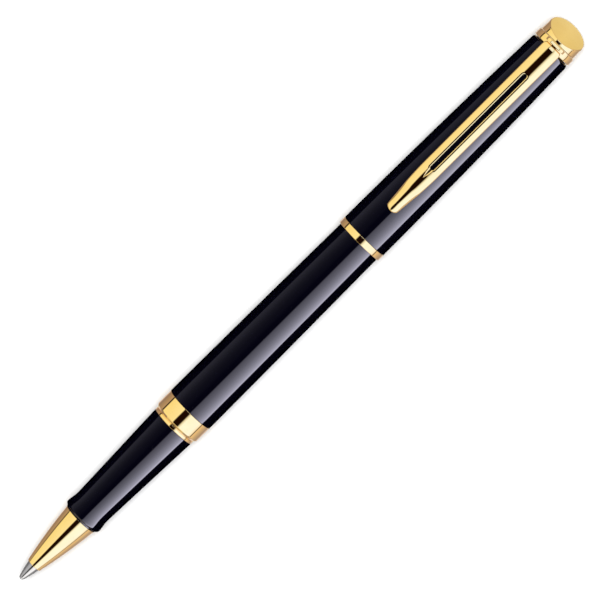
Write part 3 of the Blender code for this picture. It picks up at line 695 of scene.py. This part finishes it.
def make_clip_bridge(end, ring_r, top):
    """The rounded bar across the collar. Its top falls away towards the finial."""
    length, half_width, fall = 0.80 * MM, 2.2 * MM, 0.30 * MM
    front_round, back_round = 0.12 * MM, 0.30 * MM
    base = AXIS_Z + ring_r - 0.8 * MM
    crown, squareness = 0.12 * MM, 2 / 5.5
    steps, turns = 20, 48
    bm = bmesh.new()
    rings = []
    for step in range(steps + 1):
        back = length * (1 - math.cos(math.pi * step / steps)) / 2
        inset = rounding_at(back, front_round) + rounding_at(length - back, back_round)
        wide = half_width - inset
        high = top - base - inset - fall * (back / length) ** 1.1
        ring = []
        for turn in range(turns + 1):
            angle = math.pi * turn / turns
            across = wide * math.copysign(abs(math.cos(angle)) ** squareness, math.cos(angle))
            crowned = high - crown * (across / half_width) ** 2
            lift = crowned * max(math.sin(angle), 0) ** squareness
            ring.append(bm.verts.new((end - length + back, across, base + lift)))
        rings.append(ring)
    close_loft(bm, rings)
    slot, finish = GOLD
    finished("clip_bridge_fine", mesh_from(bm, "clip_bridge_fine"), "cap", slot, finish, [])


def rounding_at(distance, radius):
    """How far a rounded edge draws in at a distance from its end face."""
    left = max(1 - distance / radius, 0)
    return radius * (1 - math.sqrt(1 - left ** 2))


FINIAL_SLANT = math.radians(26.6)
FINIAL_RIM = 0.22 * MM
FACE_DOME = 0.16 * MM
FACE_RINGS = (0.985, 0.9, 0.8, 0.7, 0.6, 0.5, 0.4, 0.3, 0.2, 0.1)


def make_finial():
    """The gold button: its end is cut flat on a slant towards the clip, with a rounded rim."""
    low, high = box("finial")
    start, end = low.x, high.x
    front_r = radius_of("finial")
    back_r = front_r - 0.18 * MM
    rim = FINIAL_RIM
    bm = bmesh.new()
    rings = []

    def face_x(up):
        """Where the slanted face stands at a height above the axis."""
        return end - (back_r + up) * math.tan(FINIAL_SLANT)

    def wall_radius(x):
        return front_r + (back_r - front_r) * (x - start) / (end - start)

    steps, rim_steps = 24, 8
    for step in range(steps + rim_steps + 1):
        ring = []
        for index in range(AROUND):
            angle = 2 * math.pi * index / AROUND
            up, across = -math.cos(angle), math.sin(angle)
            top_x = face_x(up * back_r)
            if step <= steps:
                x = start + (top_x - rim - start) * step / steps
                radius = wall_radius(x)
            else:
                turn = math.pi / 2 * (step - steps) / rim_steps
                radius = wall_radius(top_x - rim) - rim * (1 - math.cos(turn))
                x = face_x(up * radius) - rim * (1 - math.sin(turn))
            if step == 0:
                radius -= 0.05 * MM
            ring.append(bm.verts.new((x, radius * across, AXIS_Z + radius * up)))
        rings.append(ring)
    rim_edge = rings[-1]
    for share in FACE_RINGS:
        ring = []
        for index in range(AROUND):
            edge = rim_edge[index].co
            across, up = edge.y * share, (edge.z - AXIS_Z) * share
            x = face_x(up) + FACE_DOME * (1 - share ** 2)
            ring.append(bm.verts.new((x, across, AXIS_Z + up)))
        rings.append(ring)
    centre = bm.verts.new((face_x(0) + FACE_DOME, 0, AXIS_Z))
    rings.append([centre])
    rings.insert(0, [bm.verts.new((start, 0, AXIS_Z))])
    for ring, other in zip(rings, rings[1:]):
        join_rings(bm, ring, other)
    slot, finish = GOLD
    finished("finial_fine", mesh_from(bm, "finial_fine"), "cap", slot, finish, ["finial"])


# Clip

CLIP_LOW, CLIP_HIGH = box("clip")
CLIP_TIP, CLIP_ROOT = CLIP_LOW.x, CLIP_HIGH.x
CLIP_WIDTH = CLIP_HIGH.y - CLIP_LOW.y
CLIP_TIP_WIDTH = 2.35 * MM
CLIP_TIP_ROUND = 0.75 * MM
CLIP_NARROWING = 11.0 * MM
CLIP_SPREAD = 0.2 * MM
CLIP_THICKNESS = 0.95 * MM
CLIP_CROWN = 0.55 * MM
CLIP_STANDOFF = 0.70 * MM  # from the cap tube's end radius to the underside of the clip's root
CLIP_LIFT = 0.2 * MM
CLIP_ARCH = 0.75 * MM
PAD_PLACE = 3.4 * MM       # from the tip to where the clip comes nearest to the cap
SLOT_START = CLIP_TIP + 10.9 * MM
SLOT_END = SLOT_START + 25.2 * MM
SLOT_HALF = 0.48 * MM
SLOT_RIM = 0.36 * MM
SLOT_RIM_DROP = 0.09 * MM
SCOOP_LENGTH = 2.1 * MM
SCOOP_HALF = 0.55 * MM
SCOOP_DEPTH = 0.24 * MM
ROOT_ROUND = 0.95 * MM
ROOT_NARROWING = 0.22


def clip_top(x):
    """Height of the clip's crown above the pen's axis."""
    length = CLIP_ROOT - CLIP_TIP
    from_root = (CLIP_ROOT - x) / length
    base = CAP_END_R + CLIP_STANDOFF + CLIP_THICKNESS + CLIP_LIFT
    rise = cap_radius(CLIP_TIP) - CAP_END_R
    return base + 0.45 * rise * from_root + 4 * CLIP_ARCH * from_root * (1 - from_root)


def clip_half_width(x):
    """Half of the clip's width: a round tip, a quick widening, then nearly straight sides."""
    from_tip = max(x - CLIP_TIP, 0)
    share = min(from_tip / CLIP_NARROWING, 1)
    from_root = (CLIP_ROOT - x) / (CLIP_ROOT - CLIP_TIP - CLIP_NARROWING)
    widest = CLIP_WIDTH - CLIP_SPREAD * min(from_root, 1)
    width = CLIP_TIP_WIDTH + (widest - CLIP_TIP_WIDTH) * (1 - (1 - share) ** 1.8)
    end_round = min(from_tip / CLIP_TIP_ROUND, 1)
    return width / 2 * max(1 - (1 - end_round) ** 2, 0.004) ** 0.5


def clip_bottom(x):
    """Height of the clip's underside, which dips near its tip to a pad just above the cap."""
    plain = clip_top(x) - CLIP_THICKNESS
    pad_low = cap_radius(CLIP_TIP + PAD_PLACE) + 0.12 * MM
    offset = (x - CLIP_TIP - PAD_PLACE) / PAD_PLACE
    return min(plain, pad_low + 1.1 * MM * offset ** 2)


def clip_ring(x):
    """One cross-section: a crowned top, rounded sides and a slightly narrower underside."""
    half = clip_half_width(x)
    top, bottom = clip_top(x), clip_bottom(x)
    from_root = max(0, 1 - (CLIP_ROOT - x) / ROOT_ROUND)
    rounding = 1 - math.sqrt(1 - from_root ** 2)
    top -= 0.45 * (top - bottom) * rounding
    half *= 1 - ROOT_NARROWING * rounding
    end_round = min((x - CLIP_TIP) / CLIP_TIP_ROUND, 1)
    squeeze = max(1 - (1 - end_round) ** 2, 0.004) ** 0.5
    middle = bottom + 0.55 * (top - bottom)
    top = middle + (top - middle) * squeeze
    bottom = middle - (middle - bottom) * squeeze
    depth = top - bottom
    crown = min(CLIP_CROWN, 0.45 * depth)
    side = bottom + 0.30 * depth
    ring = []
    steps, under = 20, 8
    for step in range(steps + 1):
        across = math.cos(math.pi * (1 - step / steps))
        roundness = 1 - crown * across ** 2 / max(depth, 1e-9)
        height = bottom + depth * roundness
        edge = (1 - abs(across) ** 8) ** 0.5
        ring.append((half * across, side + (height - side) * edge))
    for step in range(1, under):
        across = 1 - 2 * step / under
        edge = (1 - abs(across) ** 4) ** 0.5
        ring.append((0.97 * half * across, side + (bottom - side) * edge))
    return ring


def clip_places():
    """Where the clip's cross-sections stand, close together in both rounded ends."""
    tip_steps, steps, root_steps = 14, 110, 8
    quarter = math.pi / 2
    near = []
    for step in range(tip_steps + 1):
        near.append(CLIP_TIP + CLIP_TIP_ROUND * (1 - math.cos(quarter * step / tip_steps)))
    root = CLIP_ROOT - ROOT_ROUND
    rest = [near[-1] + (root - near[-1]) * step / steps for step in range(1, steps + 1)]
    far = []
    for step in range(1, root_steps + 1):
        far.append(root + ROOT_ROUND * math.sin(quarter * step / root_steps))
    return near + rest + far


def stadium(offset, steps=14):
    """The slot's round-ended outline, grown outwards by offset: (x, y) points, anticlockwise."""
    radius = SLOT_HALF + offset
    near = arc((SLOT_START + SLOT_HALF, 0), radius, 90, 270, steps)
    far = arc((SLOT_END - SLOT_HALF, 0), radius, -90, 90, steps)
    low = between(near[-1][0], far[0][0], -radius)
    high = between(far[-1][0], near[0][0], radius)
    return near + low + far + high


def between(first_x, last_x, y, steps=30):
    """Points along a straight side, without its ends."""
    return [(first_x + (last_x - first_x) * step / steps, y) for step in range(1, steps)]


def crown_at(x, y):
    """Height of the clip's crowned top above the pen's axis, away from its sides."""
    return clip_top(x) - CLIP_CROWN * (y / clip_half_width(x)) ** 2


def slot_cutter():
    """Cuts the slot through, with a rolled rim that follows the clip's crown and arch."""
    profile = [(0, -3 * MM)]
    steps = 8
    for step in range(steps + 1):
        share = 1 - step / steps
        profile.append((SLOT_RIM * (1 - share), -SLOT_RIM_DROP * share ** 2))
    profile[-1] = (SLOT_RIM, 0.006 * MM)
    profile.append((1.1 * SLOT_RIM, 1 * MM))
    bm = bmesh.new()
    rings = []
    for offset, depth in profile:
        ring = []
        for x, y in stadium(offset):
            ring.append(bm.verts.new((x, y, AXIS_Z + crown_at(x, y) + depth)))
        rings.append(ring)
    close_loft(bm, rings)
    return cutter_from(bm, "slot_cutter")


def scoop_cutter():
    """A shallow teardrop that runs out of the slot's front end to a point."""
    bm = bmesh.new()
    rings = []
    steps, sides = 14, 12
    for step in range(steps + 1):
        share = max(step / steps, 0.02)
        x = SLOT_START - SCOOP_LENGTH + (SCOOP_LENGTH + 1.2 * SLOT_RIM) * share
        half, depth = SCOOP_HALF * math.sin(math.pi / 2 * share), SCOOP_DEPTH * share ** 0.8
        ring = []
        for side in range(sides):
            angle = 2 * math.pi * side / sides
            y, up = half * math.cos(angle), depth * math.sin(angle)
            ring.append(bm.verts.new((x, y, AXIS_Z + crown_at(x, y) + up)))
        rings.append(ring)
    close_loft(bm, rings)
    return cutter_from(bm, "scoop_cutter")


def close_loft(bm, rings):
    """Joins rings of points in order and closes both ends."""
    for ring, other in zip(rings, rings[1:]):
        join_rings(bm, ring, other)
    bm.faces.new(rings[0])
    bm.faces.new(rings[-1])


def cutter_from(bm, name):
    """A piece for a Boolean cut; make_clip removes it after its cut."""
    cutter = bpy.data.objects.new(name, mesh_from(bm, name))
    bpy.context.scene.collection.objects.link(cutter)
    return cutter


def make_clip():
    """The arm: a loft of cross-sections with its slot and scoop cut out."""
    bm = bmesh.new()
    rings = []
    for x in clip_places():
        rings.append([bm.verts.new((x, y, AXIS_Z + height)) for y, height in clip_ring(x)])
    close_loft(bm, rings)
    mesh = mesh_from(bm, "clip_fine")
    slot, finish = GOLD
    clip = finished("clip_fine", mesh, "clip", slot, finish, ["clip"])
    for cutter in (slot_cutter(), scoop_cutter()):
        cut = clip.modifiers.new(cutter.name, "BOOLEAN")
        cut.operation = "DIFFERENCE"
        cut.object = cutter
        cut.solver = "EXACT"
        apply_modifiers(clip)
        bpy.data.objects.remove(cutter)
    clip.data.shade_smooth()
    clip.data.set_sharp_from_angle(angle=SHARP_ANGLE)


def apply_modifiers(piece):
    """Bakes a piece's modifiers into its mesh."""
    bpy.context.view_layer.update()
    graph = bpy.context.evaluated_depsgraph_get()
    mesh = bpy.data.meshes.new_from_object(piece.evaluated_get(graph))
    piece.modifiers.clear()
    piece.data = mesh


# Inside the pen

def core(name, body, look, outline, round_edge=0.08 * MM):
    """A turned piece that is out of sight, with fewer facets than an outer one."""
    turned(name, body, look, outline, round_edge, around=72)


def make_refill():
    """The refill's plastic holder, feed rod, tube, ink fibre and end plug."""
    start, end = start_of("tip_holder"), end_of("tip_holder")
    cone_r, collar_r = radius_of("tip_holder"), radius_of("tip_holder") - 0.12 * MM
    cone_end, tube_start = start_of("grip_section"), start_of("refill_tube")
    stem_end = end_of("refill_tip") + 0.05 * MM
    core("tip_holder", "refill", NATURAL, [
        (start, 1.0 * MM), (start, 1.49 * MM), (cone_end, cone_r),
        (tube_start - 0.05 * MM, cone_r), (tube_start - 0.05 * MM, collar_r),
        (end, collar_r), (end, 0.5 * MM), (stem_end, 0.5 * MM), (stem_end, 1.0 * MM),
    ])
    for name in ("ink_feed_rod", "ink_reservoir"):
        start, end, radius = start_of(name), end_of(name), radius_of(name)
        rod = [(start, 0), (start, radius), (end, radius), (end, 0)]
        core(name, "refill", FIBRE, rod, 0.15 * MM)
    start, end, radius = tube_start, end_of("refill_tube"), radius_of("refill_tube")
    bore_r = radius - 0.30 * MM
    tube = [(start, bore_r), (start, radius), (end, radius), (end, bore_r)]
    core("refill_tube", "refill", NATURAL, tube)
    head, front, back = end + 0.05 * MM, start_of("refill_end_plug"), end_of("refill_end_plug")
    spigot_r = bore_r - 0.05 * MM
    core("refill_end_plug", "refill", BLUE, [
        (front, 0), (front, spigot_r), (head, spigot_r), (head, radius), (back, radius), (back, 0),
    ], 0.2 * MM)


def make_spring():
    """The spring behind the refill, which shortens as the refill is pressed back."""
    start, end = start_of("refill_spring"), end_of("refill_spring")
    wire_r, turns = 0.18 * MM, 5
    helix_r = radius_of("refill_spring") - wire_r
    slot, finish = STEEL
    bm = bmesh.new()
    pitch = (end - start - 2 * wire_r) / turns
    sweep_helix(bm, helix_r, start + wire_r, pitch, turns, wire_r, sides=12, per_turn=60)
    mesh = mesh_from(bm, "refill_spring_fine")
    spring = finished("refill_spring_fine", mesh, "spring_pack", slot, finish, ["refill_spring"])
    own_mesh(spring)
    start, end, radius = start_of("spring_seat"), end_of("spring_seat"), radius_of("spring_seat")
    seat = [(start, 0), (start, radius), (end, radius), (end, 0)]
    core("spring_seat", "spring_pack", NATURAL, seat)


def make_cap_end():
    """The bush and the stud inside the cap's end, which hold the finial and the clip's collar."""
    start, end = start_of("cap_end_insert"), end_of("cap_end_insert")
    radius = radius_of("cap_end_insert")
    bore_r = radius_of("cap_tube") - 3.8 * MM
    end_r = cap_radius(end) - CAP_WALL - 0.1 * MM
    bush = [(start, bore_r), (start, radius), (end, end_r), (end, bore_r)]
    core("cap_end_insert", "cap", BRASS, bush)
    front, back, head_r = start_of("finial_stud"), end_of("finial_stud"), radius_of("finial_stud")
    neck, stud_r = start - 0.05 * MM, 1.3 * MM
    core("finial_stud", "cap", BRASS, [
        (front, 0), (front, head_r), (neck, head_r), (neck, stud_r), (back, stud_r), (back, 0),
    ], 0.15 * MM)


# Stage, lights and camera

SKY_R = 0.6
SKY_REACH = 1.3
STRIP = 12                 # degrees of the arc that one strip light covers
COOL = (0.90, 0.88, 1.08)
WARM = (1.0, 0.99, 0.97)
FACE = (0.98, 1.03, 0.90)
WHITE = (1, 1, 1)
LEFT_EDGE = (1.20, 1.07, 1.36)
RIGHT_EDGE = (1.32, 1.28, 1.75)
DARK_GAP = (0.012, 0.004, 0.001)
DARK_EDGE = (0.10, 0.08, 0.06)


def glow_by_angle(data, stops):
    """Makes a light's glow follow its stops round the pen's axis.

    A stop is (degrees from straight up towards -Y, red, green, blue).
    """
    data.use_nodes = True
    tree = data.node_tree
    peak = max(max(colour) for _, *colour in stops)
    place = tree.nodes.new("ShaderNodeNewGeometry")
    split = tree.nodes.new("ShaderNodeSeparateXYZ")
    across = tree.nodes.new("ShaderNodeMath")
    across.operation = "MULTIPLY"
    across.inputs[1].default_value = -1
    above = tree.nodes.new("ShaderNodeMath")
    above.operation = "SUBTRACT"
    above.inputs[1].default_value = AXIS_Z
    angle = tree.nodes.new("ShaderNodeMath")
    angle.operation = "ARCTAN2"
    share = tree.nodes.new("ShaderNodeMapRange")
    share.inputs["From Min"].default_value = -math.pi
    share.inputs["From Max"].default_value = math.pi
    ramp = tree.nodes.new("ShaderNodeValToRGB")
    emission = tree.nodes["Emission"]
    emission.inputs["Strength"].default_value = peak
    link = tree.links.new
    link(place.outputs["Position"], split.inputs["Vector"])
    link(split.outputs["Y"], across.inputs[0])
    link(split.outputs["Z"], above.inputs[0])
    link(across.outputs["Value"], angle.inputs[0])
    link(above.outputs["Value"], angle.inputs[1])
    link(angle.outputs["Value"], share.inputs["Value"])
    link(share.outputs["Result"], ramp.inputs["Fac"])
    link(ramp.outputs["Color"], emission.inputs["Color"])
    elements = ramp.color_ramp.elements
    while len(elements) > 1:
        elements.remove(elements[-1])
    elements[0].position = 0
    elements[0].color = (*[level / peak for level in stops[0][1:]], 1)
    for degrees, *colour in stops[1:]:
        element = elements.new((degrees + 180) / 360)
        element.color = (*[level / peak for level in colour], 1)


def tinted(stops, tint):
    """Stops of (degrees, brightness) as stops of one colour."""
    return [(degrees, *[glow * level for level in tint]) for degrees, glow in stops]


def softbox(name, stops, receivers):
    """A long curved softbox round the pen, made of flat strips that share one light."""
    data = bpy.data.lights.new(name, "AREA")
    data.shape = "RECTANGLE"
    data.size = 2 * SKY_REACH
    data.size_y = 2 * SKY_R * math.tan(math.radians(STRIP / 2))
    data.energy = math.pi * data.size * data.size_y
    glow_by_angle(data, stops)
    for middle in range(-180 + STRIP // 2, 180, STRIP):
        angle = math.radians(middle)
        strip = bpy.data.objects.new(name, data)
        strip.location = (0, -SKY_R * math.sin(angle), AXIS_Z + SKY_R * math.cos(angle))
        strip.rotation_euler = (angle, 0, 0)
        seen_only_in_gloss(strip, receivers)


def end_softbox(name, side, glow, tint, receivers):
    """A round softbox across one end of the long ones."""
    data = bpy.data.lights.new(name, "AREA")
    data.shape = "DISK"
    data.size = 2 * SKY_R
    data.energy = math.pi * math.pi * SKY_R ** 2 * glow
    data.color = tint
    light = bpy.data.objects.new(name, data)
    light.location = (side * SKY_REACH, 0, AXIS_Z)
    light.rotation_euler = (0, side * math.pi / 2, 0)
    seen_only_in_gloss(light, receivers)


def top_softbox(name, near, far, receivers):
    """A softbox straight above the pen, between two places along it, for edges and roundings."""
    data = bpy.data.lights.new(name, "AREA")
    data.shape = "RECTANGLE"
    data.size, data.size_y = abs(far - near), 0.26
    data.energy = 2.6 * math.pi * data.size * data.size_y
    data.color = (0.38, 0.52, 1.0)
    light = bpy.data.objects.new(name, data)
    light.location = ((near + far) / 2, 0, AXIS_Z + SKY_R)
    seen_only_in_gloss(light, receivers)


def seen_only_in_gloss(light, receivers):
    """Links a light that only these pieces reflect and that lights nothing else."""
    bpy.context.scene.collection.objects.link(light)
    light.light_linking.receiver_collection = receivers
    light.visible_camera = False
    light.visible_diffuse = False
    light.visible_transmission = False


def receivers_of(name, slots):
    """The pieces whose finish is in one of these slots, as a light-linking collection."""
    group = bpy.data.collections.new(name)
    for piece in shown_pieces():
        if piece.get("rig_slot") in slots:
            group.objects.link(piece)
    return group


def lacquer_glow():
    """A faint fill on the clip's left, and a key light that brightens towards the right edge."""
    fill = [
        (-180, 0), (-88.5, 0), (-88, 0.24), (-72, 0.19), (-52, 0.095),
        (-34, 0.045), (-17, 0.025), (-8, 0),
    ]
    key = [(11, 0), (11.5, 0.85), (34, 1.6), (52, 2.55), (72, 4.0), (86, 5.2), (86.5, 0)]
    return tinted(fill + key, COOL)


def gold_glow():
    """Two bright sides with a dark gap between them straight above, and a dimmer glow below."""
    under_left = [(-180, 0.90), (-173, 0.84), (-164, 0.56)]
    below = [(-155, 0.76), (-142, 0.24), (-120, 0.33), (-95, 0.42), (-93, 0.03), (-87, 0.03)]
    left = [(-85, 1.02, 1.10, 1.00), (-45, 1.05, 1.18, 1.25), (-17, 1.08, 1.22, 1.40)]
    gap = [(-13, *DARK_GAP), (12, *DARK_GAP)]
    right = [
        (16, 0.80, 1.00, 1.60), (24, 1.10, 1.52, 3.00), (74, 1.10, 1.52, 3.30),
        (86, 1.04, 1.25, 2.20), (88, *DARK_EDGE), (91, *DARK_EDGE), (93, 0.90, 0.86, 1.05),
    ]
    beyond = [(120, 0.42), (142, 0.28), (155, 0.76)]
    under_right = [(164, 0.56), (173, 0.84), (180, 0.90)]
    stops = tinted(under_left, FACE) + tinted(below, LEFT_EDGE) + left + gap + right
    return stops + tinted(beyond, RIGHT_EDGE) + tinted(under_right, FACE)


def steel_glow():
    """A dim left and a brighter right, for the other metals and the plastics."""
    pale = [(-180, 0.12), (-95, 0.25), (-86, 0.05), (-82, 0.42), (-20, 0.60), (-14, 0.02)]
    bright = [(14, 0.02), (20, 1.1), (80, 1.3), (86, 0.1), (95, 0.35), (180, 0.12)]
    return tinted(pale + bright, (1.0, 1.0, 1.04))


def make_studio():
    """Softboxes that show only in the lacquer, the gold or the other finishes, and one lamp."""
    lacquered = receivers_of("lacquered_pieces", {"black_lacquer"})
    gilded = receivers_of("gilded_pieces", {"gold_plate"})
    plain = {"nickel_silver", "carbide", "brass", "spring_steel"}
    plain |= {"natural_plastic", "grey_plastic", "blue_plastic", "ink_fibre"}
    others = receivers_of("other_pieces", plain)
    softbox("lacquer_softbox", lacquer_glow(), lacquered)
    softbox("gold_softbox", gold_glow(), gilded)
    top_softbox("gold_top", 0.27, 1.30, gilded)
    softbox("steel_softbox", steel_glow(), others)
    for side in (-1, 1):
        end_softbox("gold_end", side, 0.8, WARM, gilded)
        end_softbox("steel_end", side, 0.5, WHITE, others)
        end_softbox("lacquer_end", side, 0.3, COOL, lacquered)
    make_overhead()


def make_overhead():
    """A large soft lamp above the table, which no finish reflects."""
    data = bpy.data.lights.new("overhead", "AREA")
    data.shape = "SQUARE"
    data.size = 0.9
    data.energy = 38
    light = bpy.data.objects.new("overhead", data)
    bpy.context.scene.collection.objects.link(light)
    light.location = (0.08, 0, 1.6)
    light.visible_glossy = False
    light.visible_camera = False


def make_floor():
    """A plain pale table top."""
    size = 4.0
    mesh = bpy.data.meshes.new("floor")
    bm = bmesh.new()
    bmesh.ops.create_grid(bm, x_segments=8, y_segments=8, size=size)
    bm.to_mesh(mesh)
    bm.free()
    floor = bpy.data.objects.new("floor", mesh)
    bpy.context.scene.collection.objects.link(floor)
    made, tree, shader, place = new_material("pale_table", (0.93, 0.93, 0.93), 0.9, 0)
    shader.inputs["Specular IOR Level"].default_value = 0
    vary_colour(tree, shader, noise(tree, place, 3), (0.925, 0.925, 0.925), (0.935, 0.935, 0.935))
    mesh.materials.append(made)
    floor.visible_glossy = False
    floor.location.z = -0.02 * MM


CAMERA_HEIGHT = 0.84       # above the pen's axis
CAMERA_BACK = 0.146        # from the ball towards the finial
CAMERA_AIM = 0.0757        # the same way, to the place in the middle of the picture
CAMERA_TILT = math.radians(44.9)
CAMERA_LENS = 266.7        # millimetres, on a sensor 36 mm wide


def make_camera():
    """Looks down on the pen from near its finial end, with the clip towards the camera.

    The pen's axis lies across the picture's diagonal, its point at the lower left.
    """
    place = Vector((TIP_X + CAMERA_BACK, 0, AXIS_Z + CAMERA_HEIGHT))
    aim = Vector((TIP_X + CAMERA_AIM, 0, AXIS_Z))
    tilt = CAMERA_TILT
    back = (place - aim).normalized()
    along = Vector((1, 0, 0))
    along = (along - along.dot(back) * back).normalized()
    across = back.cross(along)
    right = math.cos(tilt) * along - math.sin(tilt) * across
    up = math.sin(tilt) * along + math.cos(tilt) * across
    data = bpy.data.cameras.new("camera")
    data.lens = CAMERA_LENS
    data.sensor_width = 36
    data.clip_start, data.clip_end = 0.05, 10
    camera = bpy.data.objects.new("camera", data)
    bpy.context.scene.collection.objects.link(camera)
    turn = Matrix((right, up, back)).transposed().to_4x4()
    camera.matrix_world = Matrix.Translation(place) @ turn
    bpy.context.scene.camera = camera


def make_world():
    """A pale background, kept out of gloss and diffuse light."""
    world = bpy.data.worlds.new("studio")
    world.use_nodes = True
    background = world.node_tree.nodes["Background"]
    background.inputs["Color"].default_value = (1, 1, 1, 1)
    background.inputs["Strength"].default_value = 0.97
    bpy.context.scene.world = world
    world.cycles_visibility.glossy = False
    world.cycles_visibility.diffuse = False
    bpy.context.scene.view_settings.view_transform = "Standard"


make_camera()
make_ball()
make_refill_tip()
make_nose_cone()
make_grip_section()
make_section_band()
make_thread_sleeve()
make_barrel()
make_thread_insert()
make_barrel_end_plug()
make_cap_clutch()
make_cap_band()
make_cap_tube()
make_inner_cap()
make_clip_collar()
make_clip()
make_finial()
make_refill()
make_spring()
make_cap_end()
make_studio()
make_floor()
make_world()
